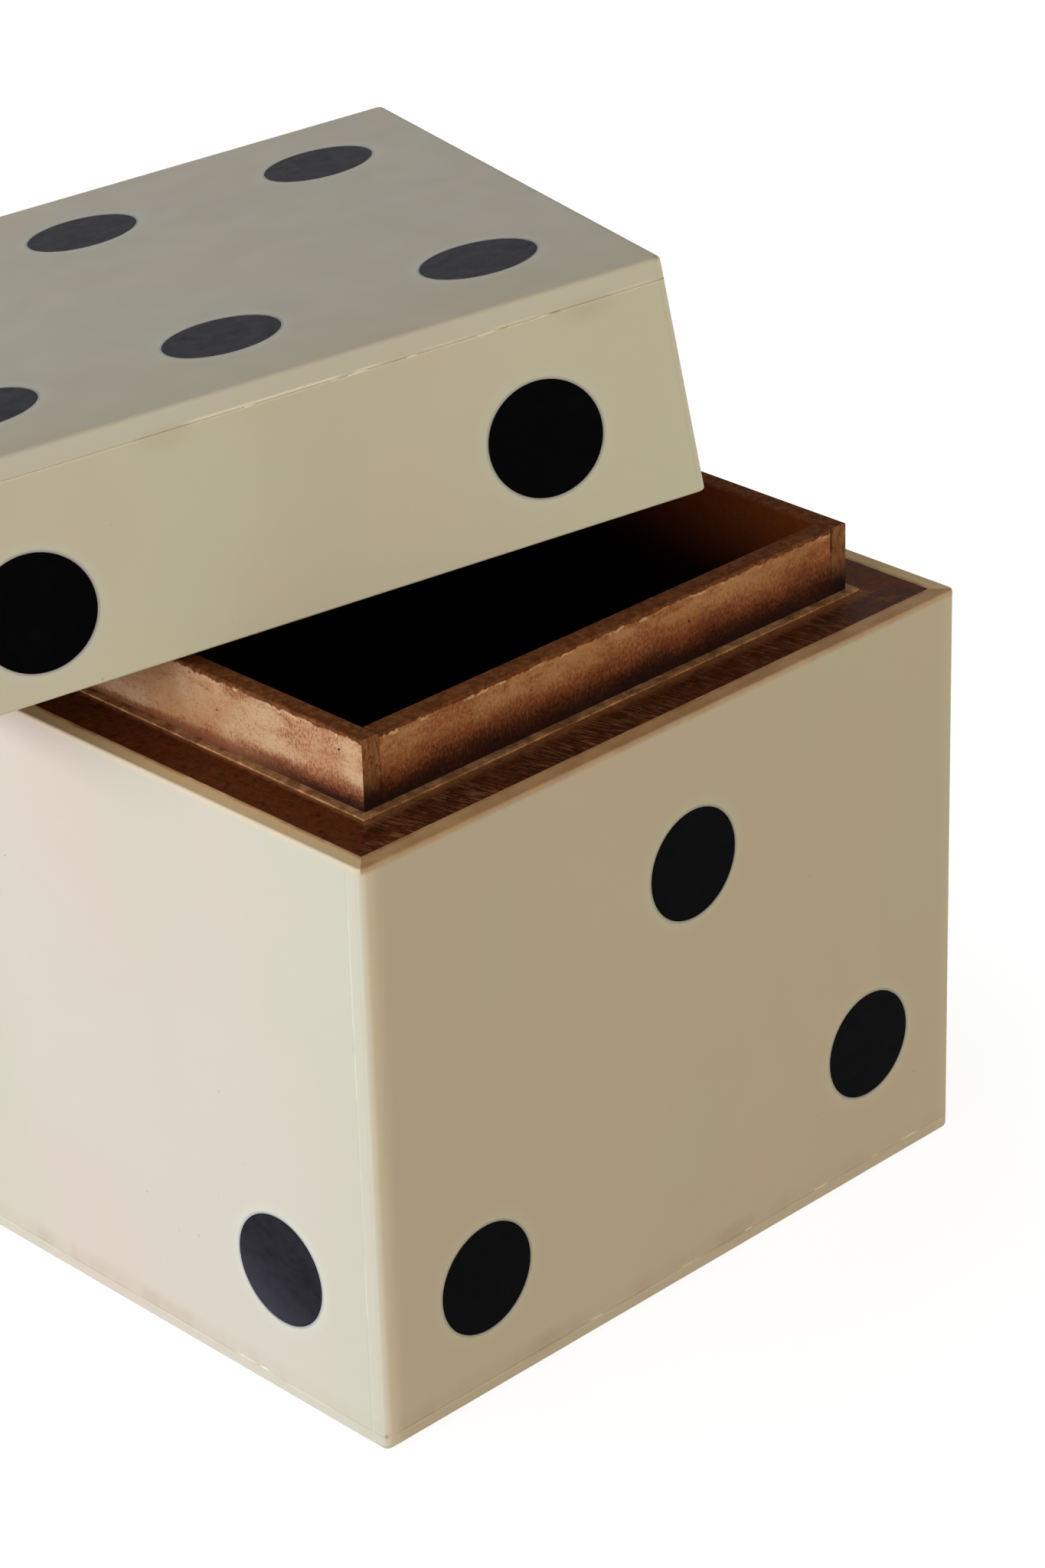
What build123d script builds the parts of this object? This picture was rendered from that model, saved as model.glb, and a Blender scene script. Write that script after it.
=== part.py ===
from build123d import *
import math
import os

# A box in the shape of a playing die, with a loose lid that lies askew across the base.
# Millimetres. The origin is the centre of the base's underside, +Z is up, the face with
# five pips looks along -Y and the face with four pips along -X.

# --- driving dimensions ---------------------------------------------------------------
box_side = 125.0            # outside width and depth, of the base and of the lid
base_height = 96.0          # underside of the base to its rim
lid_height = 37.0           # edge of the lid's walls to its top

cladding_thickness = 3.0    # resin panels on the four sides
lid_plate_thickness = 3.6   # resin plate over the lid
base_plate_thickness = 2.5  # resin plate under the base
upright_edge_radius = 1.3   # hand-rounded upright edges of the resin
plate_edge_radius = 0.9     # outer edges of the lid's top and of the base's underside
rim_edge_radius = 0.4       # sawn edges where the two halves part, hardly eased
seam_ease = 0.2             # bevel of the plates' edges where they meet the side panels
carcase_thickness = 7.5     # base walls
packing_thickness = 1.5     # strips between carcase and liner
packing_rise = 0.3          # how far the strips stand above the rim
liner_thickness = 3.3       # boards whose tops form the lip
lip_height = 11.5           # lip above the rim
lip_edge_radius = 0.4
base_floor_thickness = 6.0
liner_floor_thickness = 3.0
lid_board_thickness = 8.0   # the board that closes the lid
lid_clearance = 1.0         # between the lip and the closed lid's walls

corner_lap = 3.5            # how far side walls reach into the front and back walls
floor_rebate = 4.0          # how far floor and lid board reach into the walls

pip_radius = 9.0
pip_inset = 21.5            # corner pip's centre from the die's edges
top_row_inset = 24.5        # outer rows of the six from the lid's front and back

# the pips were set by eye: how far each stands off its regular place, across and up
front_drifts = ((3.5, 4.7), (-0.4, -1.4), (1.7, 2.2))     # middle, low left, low right
left_drifts = ((0.0, 0.0), (-0.2, 0.4))                   # low left, low right
lid_front_drifts = ((1.1, -2.3), (-1.5, -0.2))            # left, right
top_column_drifts = (4.5, 1.4, 1.5)                       # left, middle, right

# the lid's resting place: askew, on the lip's outer edges and on the back left corner
lid_turn = 23.6             # degrees, clockwise seen from above
left_seat_offset = -3.7     # seat on the left lip board, from the board's middle
right_seat_inset = 9.2      # seat on the right lip board, from its back end
seat_gap = 0.3              # between the lid and each of its three seats

# --- sizes worked out from them -------------------------------------------------------
half_side = box_side / 2
cladding_inner = half_side - cladding_thickness
carcase_inner = cladding_inner - carcase_thickness
lip_outer = carcase_inner - packing_thickness
lip_inner = lip_outer - liner_thickness
lip_top = base_height + lip_height
floor_top = base_plate_thickness + base_floor_thickness
liner_floor_top = floor_top + liner_floor_thickness

lid_inner = lip_outer + lid_clearance
plate_underside = lid_height - lid_plate_thickness
hollow_depth = plate_underside - lid_board_thickness

SIDES = ("front", "right", "back", "left")      # each a quarter turn on from the last


def block(x_range, y_range, z_range):
    """A box between two values along each axis."""
    size = [high - low for low, high in (x_range, y_range, z_range)]
    corner = [low for low, high in (x_range, y_range, z_range)]
    return Pos(*corner) * Box(*size, align=(Align.MIN, Align.MIN, Align.MIN))


def turned_to(side, shape):
    """A shape made at the front, turned to its own side."""
    return Rot(0, 0, 90 * SIDES.index(side)) * shape


def upright_board(side, half_length, inner, outer, z_range):
    """A board between two distances from the middle, on one side of the square."""
    return turned_to(side, block((-half_length, half_length), (-outer, -inner), z_range))


def runs_through(side):
    """Front and back cladding and walls run the full width; the other two stand between them."""
    return side in ("front", "back")


def eased(shape, radius, edge_test):
    """The shape with a radius on each edge whose middle passes the test."""
    return fillet([edge for edge in shape.edges() if edge_test(edge.center())], radius)


def is_at(value, level):
    """True where a coordinate is at a level."""
    return abs(value - level) < 1e-6


def is_outer(value):
    """True for a coordinate on the box's outer faces."""
    return is_at(abs(value), half_side)


def is_corner(point):
    """True for a point on an upright outer edge of the box, sharp or already rounded."""
    return min(abs(point.X), abs(point.Y)) > half_side - upright_edge_radius


def drifted(places, drifts):
    """Regular places, each moved by its own drift."""
    return [(across + right, up + rise) for (across, up), (right, rise) in zip(places, drifts)]


# --- pips -----------------------------------------------------------------------------
# Each pip is (across, up) from the middle of its face's bottom edge, seen from outside, or
# (x, y) on the lid. Opposite sides add up to seven, as on a die; the underside is plain.
column = half_side - pip_inset
low_row = pip_inset
middle_row = (base_height + lid_height) / 2
high_row = lid_height - pip_inset
top_row = half_side - top_row_inset

base_pips = {
    "front": drifted([(0.0, middle_row), (-column, low_row), (column, low_row)], front_drifts),
    "left": drifted([(-column, low_row), (column, low_row)], left_drifts),
    "right": [(0.0, middle_row), (-column, low_row)],
    "back": [(column, low_row)],
}
lid_side_pips = {
    "front": drifted([(-column, high_row), (column, high_row)], lid_front_drifts),
    "left": [(-column, high_row), (column, high_row)],
    "right": [(column, high_row)],
    "back": [(-column, high_row)],
}
top_columns = [across + drift for across, drift in zip((-column, 0.0, column), top_column_drifts)]
lid_top_pips = [(across, up) for across in top_columns for up in (-top_row, top_row)]


def side_pip_discs(side, places):
    """Inlaid discs through one side's cladding, face to face with the wall behind."""
    discs = [
        Pos(across, -cladding_inner, up) * Rot(90, 0, 0)
        * Cylinder(pip_radius, cladding_thickness, align=(Align.CENTER, Align.CENTER, Align.MIN))
        for across, up in places
    ]
    return [turned_to(side, disc) for disc in discs]


def top_pip_discs():
    """Inlaid discs through the lid's top plate."""
    return [
        Pos(x, y, plate_underside)
        * Cylinder(pip_radius, lid_plate_thickness, align=(Align.CENTER, Align.CENTER, Align.MIN))
        for x, y in lid_top_pips
    ]


def bored_for(panel, discs):
    """A panel with a hole for each of its discs."""
    for disc in discs:
        panel = panel - disc
    return panel


# --- resin cladding -------------------------------------------------------------------
def cladding_panel(side, z_range, free_edge_z, discs):
    """One side's resin panel: upright edges rounded, sawn edge eased, bored for its pips."""
    panel = upright_board(side, cladding_inner, cladding_inner, half_side, z_range)
    if runs_through(side):
        panel = upright_board(side, half_side, cladding_inner, half_side, z_range)
        halfway = sum(z_range) / 2
        panel = eased(panel, upright_edge_radius, lambda middle: is_corner(middle) and is_at(middle.Z, halfway))

    def along_rim(middle):
        outer = is_outer(middle.X) or is_outer(middle.Y) or is_corner(middle)
        return outer and is_at(middle.Z, free_edge_z)

    return bored_for(eased(panel, rim_edge_radius, along_rim), discs)


def resin_plate(z_range, free_face_z, discs):
    """A full-size resin plate: its outer edges are rounded, and a fine bevel marks its seam."""
    plate = block((-half_side, half_side), (-half_side, half_side), z_range)
    plate = eased(plate, upright_edge_radius, is_corner)
    plate = eased(plate, plate_edge_radius, lambda middle: is_at(middle.Z, free_face_z))
    seam_z = sum(z_range) - free_face_z
    seam_edges = [edge for edge in plate.edges() if is_at(edge.center().Z, seam_z)]
    return bored_for(chamfer(seam_edges, seam_ease), discs)


# --- carcase and liner ----------------------------------------------------------------
def carcase_wall(side, inner, z_range, rebate_z):
    """A board behind the cladding: lapped at the corners, with a rebate for a floor board."""
    if runs_through(side):
        wall = block((-cladding_inner, cladding_inner), (-cladding_inner, -inner), z_range)
        for lap in ((-cladding_inner, -inner), (inner, cladding_inner)):
            wall = wall - block(lap, (-inner - corner_lap, -inner), z_range)
    else:
        reach = inner + corner_lap
        wall = block((-reach, reach), (-cladding_inner, -inner), z_range)
    rebate_half = inner + floor_rebate
    rebate = block((-rebate_half, rebate_half), (-rebate_half, -inner), rebate_z)
    return turned_to(side, wall - rebate)


def square_board(half_length, z_range):
    """A level board centred on the box."""
    return block((-half_length, half_length), (-half_length, half_length), z_range)


def liner_board(side):
    """An inner board whose top stands above the rim: left and right run through."""
    half_length = lip_inner if runs_through(side) else lip_outer
    board = block((-half_length, half_length), (-lip_outer, -lip_inner), (floor_top, lip_top))
    top_edges = [
        edge for edge in board.edges()
        if is_at(edge.center().Z, lip_top) and is_at(edge.center().X, 0)
    ]
    return turned_to(side, fillet(top_edges, lip_edge_radius))


def packing_strip(side):
    """A bare strip between carcase and liner, standing a little above the rim."""
    half_length = carcase_inner if runs_through(side) else lip_outer
    return upright_board(side, half_length, lip_outer, carcase_inner, (floor_top, base_height + packing_rise))


# --- the lid's resting place ----------------------------------------------------------
def resting_place():
    """The lid's place at rest, from its underside's plane through the three seats.

    The front wall's inner edge lies on the left seat and the right wall's inner edge on the
    right seat; the back left corner of the base's rim carries the left wall.
    """
    left_seat = Vector(-lip_outer, left_seat_offset, lip_top + seat_gap)
    right_seat = Vector(lip_outer, lip_outer - right_seat_inset, lip_top + seat_gap)
    corner = half_side - upright_edge_radius
    corner_seat = Vector(-corner, corner, base_height + seat_gap)

    upward = (right_seat - left_seat).cross(corner_seat - left_seat).normalized()
    turn = math.radians(lid_turn)
    heading = Vector(math.cos(turn), -math.sin(turn), 0)
    across = (heading - upward * heading.dot(upward)).normalized()
    depth = upward.cross(across)

    centre = (
        across * (right_seat.dot(across) - lid_inner)
        + depth * (left_seat.dot(depth) + lid_inner)
        + upward * left_seat.dot(upward)
    )
    return Plane(origin=centre, x_dir=across, z_dir=upward).location


# --- the two halves -------------------------------------------------------------------
def base_nodes():
    """Every piece of the base, by node name."""
    nodes = {}
    wall_z = (base_plate_thickness, base_height)
    floor_z = (base_plate_thickness, floor_top)
    for side in SIDES:
        discs = side_pip_discs(side, base_pips[side])
        nodes[f"base_{side}_wall"] = carcase_wall(side, carcase_inner, wall_z, floor_z)
        nodes[f"base_{side}_panel"] = cladding_panel(side, wall_z, base_height, discs)
        nodes[f"base_{side}_pips"] = Compound(children=discs)
        nodes[f"liner_{side}"] = liner_board(side)
        nodes[f"packing_{side}"] = packing_strip(side)
    nodes["base_bottom_panel"] = resin_plate((0, base_plate_thickness), 0, [])
    nodes["base_floor"] = square_board(carcase_inner + floor_rebate, floor_z)
    nodes["liner_floor"] = square_board(lip_inner, (floor_top, liner_floor_top))
    return nodes


def lid_nodes():
    """Every piece of the lid, by node name, with the lid's underside on the ground plane."""
    nodes = {}
    wall_z = (0, plate_underside)
    board_z = (hollow_depth, plate_underside)
    for side in SIDES:
        discs = side_pip_discs(side, lid_side_pips[side])
        nodes[f"lid_{side}_wall"] = carcase_wall(side, lid_inner, wall_z, board_z)
        nodes[f"lid_{side}_panel"] = cladding_panel(side, wall_z, 0, discs)
        nodes[f"lid_{side}_pips"] = Compound(children=discs)
    discs = top_pip_discs()
    nodes["lid_top_panel"] = resin_plate((plate_underside, lid_height), lid_height, discs)
    nodes["lid_top_pips"] = Compound(children=discs)
    nodes["lid_top_board"] = square_board(lid_inner + floor_rebate, board_z)
    return nodes


def main():
    """Builds both halves, sets the lid in its resting place and writes one STEP per node."""
    os.makedirs("parts", exist_ok=True)
    place = resting_place()
    nodes = base_nodes()
    for name, shape in lid_nodes().items():
        nodes[name] = place * shape
    for name, shape in nodes.items():
        export_step(shape, f"parts/{name}.step")


main()
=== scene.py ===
"""Looks of a box in the shape of a playing die, whose loose lid lies askew across its base."""

import fnmatch
import logging
import math
from dataclasses import dataclass, field, replace
from enum import Enum
from functools import cached_property, reduce
from typing import Callable, Iterable, Sequence

import bmesh
import bpy
from mathutils import Euler, Matrix, Vector


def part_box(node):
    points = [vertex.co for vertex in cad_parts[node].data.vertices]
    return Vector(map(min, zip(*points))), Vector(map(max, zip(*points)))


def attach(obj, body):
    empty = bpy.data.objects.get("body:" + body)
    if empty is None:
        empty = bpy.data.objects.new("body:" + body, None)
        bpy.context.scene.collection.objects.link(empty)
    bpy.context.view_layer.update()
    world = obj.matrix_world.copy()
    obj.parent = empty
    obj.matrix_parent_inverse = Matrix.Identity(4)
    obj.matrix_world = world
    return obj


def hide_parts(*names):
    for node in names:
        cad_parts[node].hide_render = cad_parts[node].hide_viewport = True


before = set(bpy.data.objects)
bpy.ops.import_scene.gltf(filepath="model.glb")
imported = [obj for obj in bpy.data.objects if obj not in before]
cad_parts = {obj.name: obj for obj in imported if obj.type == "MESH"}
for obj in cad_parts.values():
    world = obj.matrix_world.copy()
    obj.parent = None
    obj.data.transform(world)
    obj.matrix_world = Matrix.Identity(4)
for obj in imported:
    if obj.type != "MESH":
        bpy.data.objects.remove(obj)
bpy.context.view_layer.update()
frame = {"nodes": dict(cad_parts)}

LOG = logging.getLogger("dice_box")
MM = 0.001
Colour = tuple[float, float, float, float]
Triple = tuple[float, float, float]
Socket = bpy.types.NodeSocket
Material = bpy.types.Material
Mesh = bpy.types.Mesh
Object = bpy.types.Object


def tone(red: int, green: int, blue: int) -> Colour:
    """A colour from its 0 to 255 display values.

    Args:
        red, green, blue: display values.

    Returns:
        The linear colour that a shader takes.
    """
    def linear(value: float) -> float:
        """One channel, from display to linear."""
        return value / 12.92 if value <= 0.04045 else ((value + 0.055) / 1.055) ** 2.4

    return (linear(red / 255), linear(green / 255), linear(blue / 255), 1.0)


class Side(Enum):
    """The four upright sides of the box, with the way each looks in its half's own axes."""

    FRONT = (0.0, -1.0)
    RIGHT = (1.0, 0.0)
    BACK = (0.0, 1.0)
    LEFT = (-1.0, 0.0)

    @property
    def word(self) -> str:
        """The side's name as it stands in node names."""
        return self.name.lower()

    @property
    def outward(self) -> Vector:
        """The side's outward direction."""
        return Vector((*self.value, 0.0))


class Half(Enum):
    """The two bodies of the box."""

    BASE = "base"
    LID = "lid"


# --- places read from the frame -------------------------------------------------------
@dataclass(frozen=True)
class Place:
    """A half's own axes and origin at rest, in metres."""

    origin: Vector
    axes: Matrix

    def to_local(self, point: Vector) -> Vector:
        """A point in the half's own axes."""
        return self.axes.transposed() @ (point - self.origin)

    def to_world(self, point: Vector) -> Vector:
        """A point of the half's own axes in the row's frame."""
        return self.origin + self.axes @ point

    def extent(self, node: str) -> tuple[Vector, Vector]:
        """A node's lowest and highest corner in the half's own axes.

        Args:
            node: name of a CAD node.

        Returns:
            Both corners, in metres.
        """
        corners = [self.to_local(vertex.co) for vertex in frame["nodes"][node].data.vertices]
        return (
            Vector([min(corner[axis] for corner in corners) for axis in range(3)]),
            Vector([max(corner[axis] for corner in corners) for axis in range(3)]),
        )


def broad_normal(node: str, towards: Vector) -> Vector:
    """The normal of a node's broadest face.

    Args:
        node: name of a CAD node.
        towards: rough direction, which settles the sign.

    Returns:
        The unit normal.
    """
    normal = max(frame["nodes"][node].data.polygons, key=lambda face: face.area).normal.copy()
    return normal if normal.dot(towards) > 0 else -normal


def base_place() -> Place:
    """The base's axes are the row's own."""
    return Place(Vector((0, 0, 0)), Matrix.Identity(3))


def lid_place() -> Place:
    """The lid's axes, read from its board and front wall, with the origin amid its underside.

    Returns:
        The lid's place at rest.
    """
    up = broad_normal("lid_top_board", Vector((0, 0, 1)))
    depth = broad_normal("lid_front_wall", Vector((0, 1, 0)))
    axes = Matrix((depth.cross(up), depth, up)).transposed()
    turned = Place(Vector((0, 0, 0)), axes)
    low, high = turned.extent("lid_top_panel")
    underside = turned.extent("lid_front_wall")[0].z
    middle = Vector(((low.x + high.x) / 2, (low.y + high.y) / 2, underside))
    return Place(axes @ middle, axes)


# --- node graphs ----------------------------------------------------------------------
@dataclass(frozen=True)
class Lumps:
    """Fractal noise: its lumps' size in millimetres, and how the points are turned and scaled for it."""

    size: float
    detail: float = 2.0
    rough: float = 0.5
    twist: float = 0.0
    scale: Triple | None = None
    turn: Triple = (0.0, 0.0, 0.0)


@dataclass(frozen=True)
class Span:
    """A stretch along the front, in millimetres from its middle, and the share that it has there."""

    start: float
    end: float
    share: float


def arithmetic(operation: str, swapped: bool = False) -> Callable[..., "Field"]:
    """A method that passes a field, and its other operand if it has one, to a math node.

    Args:
        operation: the node's operation.
        swapped: whether the field comes second.

    Returns:
        The method.
    """
    def method(owner: "Field", *others: "Value") -> "Field":
        """The node's result."""
        return owner.graph.math(operation, *((*others, owner) if swapped else (owner, *others)))

    return method


class Field:
    """A value that varies from place to place, and that adds, multiplies and compares as a number does."""

    def __init__(self, graph: "Nodes", socket: Socket) -> None:
        """Wraps the output of a graph's node."""
        self.graph = graph
        self.socket = socket

    __add__ = arithmetic("ADD")
    __sub__ = arithmetic("SUBTRACT")
    __rsub__ = arithmetic("SUBTRACT", swapped=True)
    __mul__ = arithmetic("MULTIPLY")
    __truediv__ = arithmetic("DIVIDE")
    __pow__ = arithmetic("POWER")
    __gt__ = arithmetic("GREATER_THAN")
    __lt__ = arithmetic("LESS_THAN")
    __abs__ = arithmetic("ABSOLUTE")

    def ramp(self, low: "Value", high: "Value", start: "Value" = 0.0, end: "Value" = 1.0) -> "Field":
        """A smooth step.

        Args:
            low, high: between which values the step lies.
            start, end: what it gives there.

        Returns:
            The stepped value, clamped.
        """
        node = self.graph.make(
            "ShaderNodeMapRange",
            {"Value": self, "From Min": low, "From Max": high, "To Min": start, "To Max": end},
            interpolation_type="SMOOTHSTEP",
        )
        return Field(self.graph, node.outputs["Result"])

    def band(self, middle: float, inner: float, outer: float) -> "Field":
        """1 within a distance of a value, fading to 0 further out.

        Args:
            middle: the value in the band's middle.
            inner, outer: distances from it at which the fade begins and ends.

        Returns:
            The share.
        """
        return abs(self - middle).ramp(inner, outer, 1, 0)


Value = float | Field
Inputs = dict[int | str, object]


class Nodes:
    """A tree of nodes, with the calls that shader and geometry trees have in common."""

    def __init__(self, tree: bpy.types.NodeTree) -> None:
        """Takes up a tree."""
        self.tree = tree

    def put(self, socket: Socket, value: object) -> None:
        """Links a field or a socket to an input, or sets it to a plain value.

        Args:
            socket: the input.
            value: what goes into it.
        """
        source = value.socket if isinstance(value, Field) else value
        if isinstance(source, bpy.types.NodeSocket):
            self.tree.links.new(source, socket)
        else:
            socket.default_value = source

    def make(self, kind: str, inputs: Inputs, **settings: object) -> bpy.types.Node:
        """A new node.

        Args:
            kind: the node's type.
            inputs: its inputs, by name or number.
            settings: its other properties.

        Returns:
            The node.
        """
        node = self.tree.nodes.new(kind)
        for key, value in settings.items():
            setattr(node, key, value)
        for key, value in inputs.items():
            self.put(node.inputs[key], value)
        return node

    def math(self, operation: str, *values: Value) -> Field:
        """One arithmetic step."""
        node = self.make("ShaderNodeMath", dict(enumerate(values)), operation=operation)
        return Field(self, node.outputs[0])

    def most(self, *values: Value) -> Field:
        """The largest of several values."""
        return reduce(lambda first, second: self.math("MAXIMUM", first, second), values)

    def least(self, *values: Value) -> Field:
        """The smallest of several values."""
        return reduce(lambda first, second: self.math("MINIMUM", first, second), values)

    def seen(self) -> Field:
        """1 for rays from the camera and for mirrored or refracted ones.

        Returns:
            The share, 0 or 1.
        """
        path = self.make("ShaderNodeLightPath", {})
        rays = ("Is Camera Ray", "Is Glossy Ray", "Is Transmission Ray")
        return self.most(*(Field(self, path.outputs[name]) for name in rays))


class Graph(Nodes):
    """A material's nodes, with one short call for each kind that the finishes use."""

    def __init__(self, name: str, place: Place | None = None) -> None:
        """Starts a material.

        Args:
            name: its name.
            place: the axes in which its patterns are given.
        """
        self.material = bpy.data.materials.new(name)
        self.material.use_nodes = True
        super().__init__(self.material.node_tree)
        self.shader = self.tree.nodes["Principled BSDF"]
        self.points = self.millimetres(place) if place else None
        self.colour: object = None

    def layer(self, share: Value, colour: object) -> None:
        """Lays a colour over what there is so far, by a share from 0 to 1."""
        self.colour = self.mix(share, self.colour, colour)

    def mix(self, share: Value, first: object, second: object) -> Socket:
        """Two colours mixed by a share from 0 to 1."""
        return self.make("ShaderNodeMix", {0: share, 6: first, 7: second}, data_type="RGBA").outputs[2]

    def noise(self, lumps: Lumps) -> Field:
        """Fractal noise over the surface.

        Args:
            lumps: its recipe.

        Returns:
            The noise, most of it near 0.5.
        """
        points = self.points
        if lumps.scale:
            angles = Euler([math.radians(angle) for angle in lumps.turn])
            turned = self.make("ShaderNodeMapping", {"Vector": points, "Rotation": angles})
            stretched = {"Vector": turned.outputs[0], "Scale": Vector(lumps.scale)}
            points = self.make("ShaderNodeMapping", stretched).outputs[0]
        recipe = {
            "Vector": points,
            "Scale": 1.0 / lumps.size,
            "Detail": lumps.detail,
            "Roughness": lumps.rough,
            "Distortion": lumps.twist,
        }
        return Field(self, self.make("ShaderNodeTexNoise", recipe).outputs[0])

    def millimetres(self, place: Place) -> Socket:
        """The surface point in a half's own axes, in millimetres.

        Args:
            place: those axes.

        Returns:
            The point's socket.
        """
        back = place.axes.transposed()
        local = {
            "Vector": self.make("ShaderNodeTexCoord", {}).outputs["Object"],
            "Location": -(back @ place.origin),
            "Rotation": back.to_euler("XYZ"),
        }
        scaled = {0: self.make("ShaderNodeMapping", local).outputs[0], "Scale": 1.0 / MM}
        return self.make("ShaderNodeVectorMath", scaled, operation="SCALE").outputs[0]

    @cached_property
    def coordinates(self) -> tuple[Field, Field, Field]:
        """The surface point's three coordinates."""
        node = self.make("ShaderNodeSeparateXYZ", {0: self.points})
        return Field(self, node.outputs[0]), Field(self, node.outputs[1]), Field(self, node.outputs[2])

    def compare(self, operation: str, first: object, second: object) -> Field:
        """One step that makes a number of two vectors."""
        node = self.make("ShaderNodeVectorMath", {0: first, 1: second}, operation=operation)
        return Field(self, node.outputs["Value"])

    def facing(self, direction: Vector) -> Field:
        """How squarely the surface looks along a direction, from -1 to 1."""
        normal = self.make("ShaderNodeNewGeometry", {}).outputs["Normal"]
        return self.compare("DOT_PRODUCT", normal, direction)

    def distance(self, centre: Vector, points: Socket | None = None) -> Field:
        """How far the surface point, or another one, lies from a fixed point."""
        return self.compare("DISTANCE", points or self.points, centre)

    def bump(self, height: Field, depth: float, strength: float, under: Socket | None = None) -> Socket:
        """A bump.

        Args:
            height: the height field.
            depth: how deep a step of 1 is, in millimetres.
            strength: how strongly it shows.
            under: a bump that this one is added to.

        Returns:
            The bumped normal.
        """
        inputs: Inputs = {"Height": height, "Distance": depth * MM, "Strength": strength}
        if under is not None:
            inputs["Normal"] = under
        return self.make("ShaderNodeBump", inputs).outputs[0]

    def finish(self, rough: Value, normal: Socket | None = None, **constants: float) -> Material:
        """Sets the shader and hands back the material.

        Args:
            rough: roughness.
            normal: bumped normal.
            constants: other shader inputs, with underscores for spaces.

        Returns:
            The material.
        """
        self.put(self.shader.inputs["Base Color"], self.colour)
        self.put(self.shader.inputs["Roughness"], rough)
        if normal is not None:
            self.put(self.shader.inputs["Normal"], normal)
        for key, value in constants.items():
            self.shader.inputs[key.replace("_", " ")].default_value = value
        return self.material


# --- finishes -------------------------------------------------------------------------
@dataclass(frozen=True)
class ResinLook:
    """What differs between the two halves' resin: its colours, and how strongly each trait shows."""

    cream: Colour
    rosy: Colour
    plate: Colour
    streak_share: float
    cloud_share: float
    seam_depth: float
    corner_highlight_share: float
    tan_reach: float
    rosy_share: float = 0.0
    fresh_share: float = 0.0
    sheen_share: float = 0.0
    painted_groove_light_share: float = 0.0
    glue_spans: tuple[Span, ...] = ()
    stain_spans: tuple[Span, ...] = ()
    smudge_spans: tuple[Span, ...] = ()


BASE_LOOK = ResinLook(
    cream=tone(222, 216, 203),
    rosy=tone(224, 212, 200),
    plate=tone(228, 223, 205),
    streak_share=0.2,
    cloud_share=0.3,
    seam_depth=0.27,
    corner_highlight_share=0.66,
    tan_reach=0.85,
    rosy_share=0.6,
)
LID_LOOK = ResinLook(
    cream=tone(223, 223, 204),
    rosy=tone(224, 217, 201),
    plate=tone(219, 221, 214),
    streak_share=0.9,
    cloud_share=0.14,
    seam_depth=0.55,
    corner_highlight_share=0.1,
    tan_reach=0.3,
    fresh_share=0.8,
    sheen_share=0.7,
    painted_groove_light_share=0.5,
    glue_spans=(
        Span(-12, 11, 1.0), Span(13.5, 17, 0.9), Span(24, 31, 0.35), Span(35, 42, 0.4), Span(53, 60, 0.3),
    ),
    stain_spans=(Span(-20, -12, 0.5), Span(18, 24, 0.35), Span(43.5, 45.5, 1.3), Span(46, 54, 0.4)),
    smudge_spans=(Span(-19, -13, 0.16), Span(47, 53, 0.2)),
)


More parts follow.
